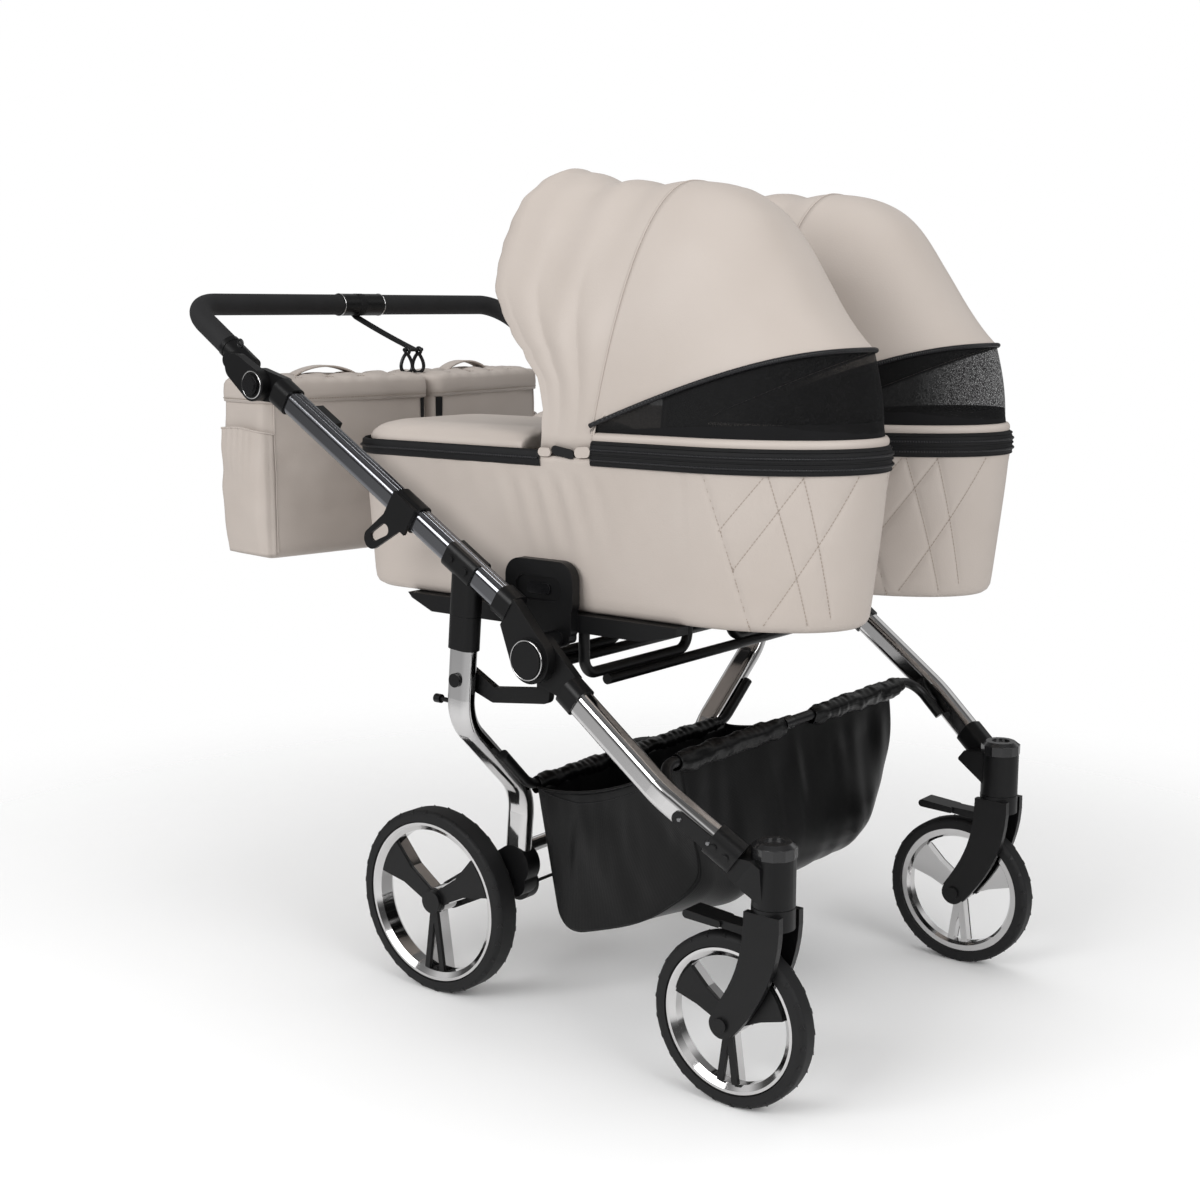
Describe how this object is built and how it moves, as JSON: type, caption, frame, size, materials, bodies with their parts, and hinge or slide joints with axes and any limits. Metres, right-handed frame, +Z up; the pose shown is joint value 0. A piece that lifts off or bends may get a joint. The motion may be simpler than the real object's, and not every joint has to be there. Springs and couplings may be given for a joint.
{
  "type": "twin pram",
  "caption": "Side-by-side twin pram with a folding chromed chassis, carrycots with hoods, a cloth basket, swivelling front casters and nappy bags hung from the handle.",
  "frame": {"origin": "on the floor at the middle of the pram's length and width", "axes": "+X forward towards the casters, +Y to the left, +Z up"},
  "size_m": [1.1672, 0.824, 1.252],
  "materials": {
    "chrome": "polished",
    "black_plastic": "fine grain",
    "black_tube": "satin black",
    "smoky_plastic": "smoky gloss",
    "grey_plastic": "gloss",
    "foam": "matt foam",
    "tyre": "matt",
    "leatherette": "matt grained",
    "black_cloth": "plain weave",
    "white_cloth": "plain weave",
    "strap_hooks": "black snap hooks on a web loop",
    "steel": "drawn wire"
  },
  "bodies": {
    "chassis": {"lower_tubes": "chrome", "fold_knuckles_lower": "black_plastic", "caster_housings": "black_plastic", "caster_caps": "smoky_plastic", "dock_frame": "black_tube", "cot_adapters": "black_plastic", "leg_braces": "black_plastic", "basket": "black_cloth", "basket_front_rail": "black_tube"},
    "upper_frame": {"upper_tubes": "chrome", "fold_knuckles_upper": "black_plastic", "leg_clamps": "black_plastic", "handle_hubs": "black_plastic"},
    "fold_release_R": {"fold_release_R": "black_plastic"},
    "fold_release_L": {"fold_release_L": "black_plastic"},
    "handle": {"handle_tube": "chrome", "handle_grips": "foam", "handle_arms": "black_plastic"},
    "handle_button_R": {"handle_button_R": "grey_plastic"},
    "handle_button_L": {"handle_button_L": "grey_plastic"},
    "bag_strap": {"bag_strap": "strap_hooks"},
    "bags": {"bag_R": "leatherette", "bag_L": "leatherette"},
    "rear_legs": {"rear_legs": "chrome", "leg_caps": "black_plastic", "axle_arms": "black_plastic", "rear_cross_tube": "chrome", "basket_rear_rail": "black_tube", "brake_housings": "black_plastic"},
    "brake_pedal": {"brake_pedal": "black_plastic"},
    "adapter_button_R": {"adapter_button_R": "grey_plastic"},
    "adapter_button_L": {"adapter_button_L": "grey_plastic"},
    "rear_wheel_R": {"rear_tyre_R": "tyre", "rear_rim_R": "chrome", "rear_spokes_R": "black_plastic"},
    "caster_R": {"caster_fork_R": "black_plastic"},
    "kick_lever_R": {"kick_lever_R": "black_plastic"},
    "front_wheel_R": {"front_tyre_R": "tyre", "front_rim_R": "chrome", "front_spokes_R": "black_plastic"},
    "cot_R": {"cot_tub_R": "leatherette", "mattress_R": "white_cloth", "cot_apron_R": "leatherette", "hood_front_R": "leatherette"},
    "hood_R": {"hood_bow_R": "steel", "hood_rear_R": "leatherette"},
    "rear_wheel_L": {"rear_tyre_L": "tyre", "rear_rim_L": "chrome", "rear_spokes_L": "black_plastic"},
    "caster_L": {"caster_fork_L": "black_plastic"},
    "kick_lever_L": {"kick_lever_L": "black_plastic"},
    "front_wheel_L": {"front_tyre_L": "tyre", "front_rim_L": "chrome", "front_spokes_L": "black_plastic"},
    "cot_L": {"cot_tub_L": "leatherette", "mattress_L": "white_cloth", "cot_apron_L": "leatherette", "hood_front_L": "leatherette"},
    "hood_L": {"hood_bow_L": "steel", "hood_rear_L": "leatherette"}
  },
  "joints": [
    {"name": "frame_fold", "type": "hinge", "parent": "chassis", "child": "upper_frame", "pos_m": [0.16814, 0, 0.582], "axis": [0, 1, 0], "range_deg": [0, 118], "deforming": ["basket", "bag_R", "bag_L"]},
    {"name": "leg_fold", "type": "hinge", "parent": "chassis", "child": "rear_legs", "pos_m": [0.03014, 0, 0.535], "axis": [0, 1, 0], "range_deg": [-35, 0]},
    {"name": "handle_angle", "type": "hinge", "parent": "upper_frame", "child": "handle", "pos_m": [-0.38202, 0, 0.93928], "axis": [0, 1, 0], "range_deg": [-45, 35]},
    {"name": "strap_swing", "type": "hinge", "parent": "handle", "child": "bag_strap", "pos_m": [-0.56464, 0, 1.06016], "axis": [0, 1, 0], "range_deg": [-35, 45]},
    {"name": "bag_swing", "type": "hinge", "parent": "bag_strap", "child": "bags", "pos_m": [-0.56464, 0, 1.06016], "axis": [0, 1, 0], "range_deg": [-118, 0]},
    {"name": "brake", "type": "hinge", "parent": "rear_legs", "child": "brake_pedal", "pos_m": [0.00537, 0, 0.24], "axis": [0, -1, 0], "range_deg": [0, 25]},
    {"name": "release_R", "type": "slide", "parent": "upper_frame", "child": "fold_release_R", "axis": [-0.8517, 0, 0.524], "range_m": [0, 0.016], "stiffness_N_per_m": 500, "springref_m": -0.004},
    {"name": "handle_lock_R", "type": "slide", "parent": "handle", "child": "handle_button_R", "axis": [0, 1, 0], "range_m": [0, 0.003], "stiffness_N_per_m": 600, "springref_m": -0.002},
    {"name": "adapter_lock_R", "type": "slide", "parent": "chassis", "child": "adapter_button_R", "axis": [0, 1, 0], "range_m": [0, 0.003], "stiffness_N_per_m": 600, "springref_m": -0.002},
    {"name": "rear_spin_R", "type": "hinge", "parent": "rear_legs", "child": "rear_wheel_R", "pos_m": [-0.12386, -0.281, 0.145], "axis": [0, 1, 0], "continuous": true},
    {"name": "caster_swivel_R", "type": "hinge", "parent": "chassis", "child": "caster_R", "pos_m": [0.52214, -0.334, 0.25], "axis": [0, 0, 1], "continuous": true},
    {"name": "kick_R", "type": "hinge", "parent": "caster_R", "child": "kick_lever_R", "pos_m": [0.50614, -0.334, 0.25], "axis": [0, 1, 0], "range_deg": [0, 16]},
    {"name": "front_spin_R", "type": "hinge", "parent": "caster_R", "child": "front_wheel_R", "pos_m": [0.46214, -0.334, 0.12], "axis": [0, 1, 0], "continuous": true},
    {"name": "cot_lift_R", "type": "slide", "parent": "chassis", "child": "cot_R", "axis": [0, 0, 1], "range_m": [0, 0.3]},
    {"name": "hood_fold_R", "type": "hinge", "parent": "cot_R", "child": "hood_R", "pos_m": [0.21514, -0.183, 0.88], "axis": [0, 1, 0], "range_deg": [0, 28], "deforming": ["hood_rear_R"]},
    {"name": "release_L", "type": "slide", "parent": "upper_frame", "child": "fold_release_L", "axis": [-0.8517, 0, 0.524], "range_m": [0, 0.016], "stiffness_N_per_m": 500, "springref_m": -0.004},
    {"name": "handle_lock_L", "type": "slide", "parent": "handle", "child": "handle_button_L", "axis": [0, -1, 0], "range_m": [0, 0.003], "stiffness_N_per_m": 600, "springref_m": -0.002},
    {"name": "adapter_lock_L", "type": "slide", "parent": "chassis", "child": "adapter_button_L", "axis": [0, -1, 0], "range_m": [0, 0.003], "stiffness_N_per_m": 600, "springref_m": -0.002},
    {"name": "rear_spin_L", "type": "hinge", "parent": "rear_legs", "child": "rear_wheel_L", "pos_m": [-0.12386, 0.281, 0.145], "axis": [0, 1, 0], "continuous": true},
    {"name": "caster_swivel_L", "type": "hinge", "parent": "chassis", "child": "caster_L", "pos_m": [0.52214, 0.334, 0.25], "axis": [0, 0, 1], "continuous": true},
    {"name": "kick_L", "type": "hinge", "parent": "caster_L", "child": "kick_lever_L", "pos_m": [0.50614, 0.334, 0.25], "axis": [0, 1, 0], "range_deg": [0, 16]},
    {"name": "front_spin_L", "type": "hinge", "parent": "caster_L", "child": "front_wheel_L", "pos_m": [0.46214, 0.334, 0.12], "axis": [0, 1, 0], "continuous": true},
    {"name": "cot_lift_L", "type": "slide", "parent": "chassis", "child": "cot_L", "axis": [0, 0, 1], "range_m": [0, 0.3]},
    {"name": "hood_fold_L", "type": "hinge", "parent": "cot_L", "child": "hood_L", "pos_m": [0.21514, 0.183, 0.88], "axis": [0, 1, 0], "range_deg": [0, 28], "deforming": ["hood_rear_L"]}
  ],
  "couplings": [
    {"joint": "leg_fold", "follows": "frame_fold", "ratio": -0.29661},
    {"joint": "strap_swing", "follows": "handle_angle", "ratio": -1},
    {"joint": "bag_swing", "follows": "frame_fold", "ratio": -1}
  ]
}
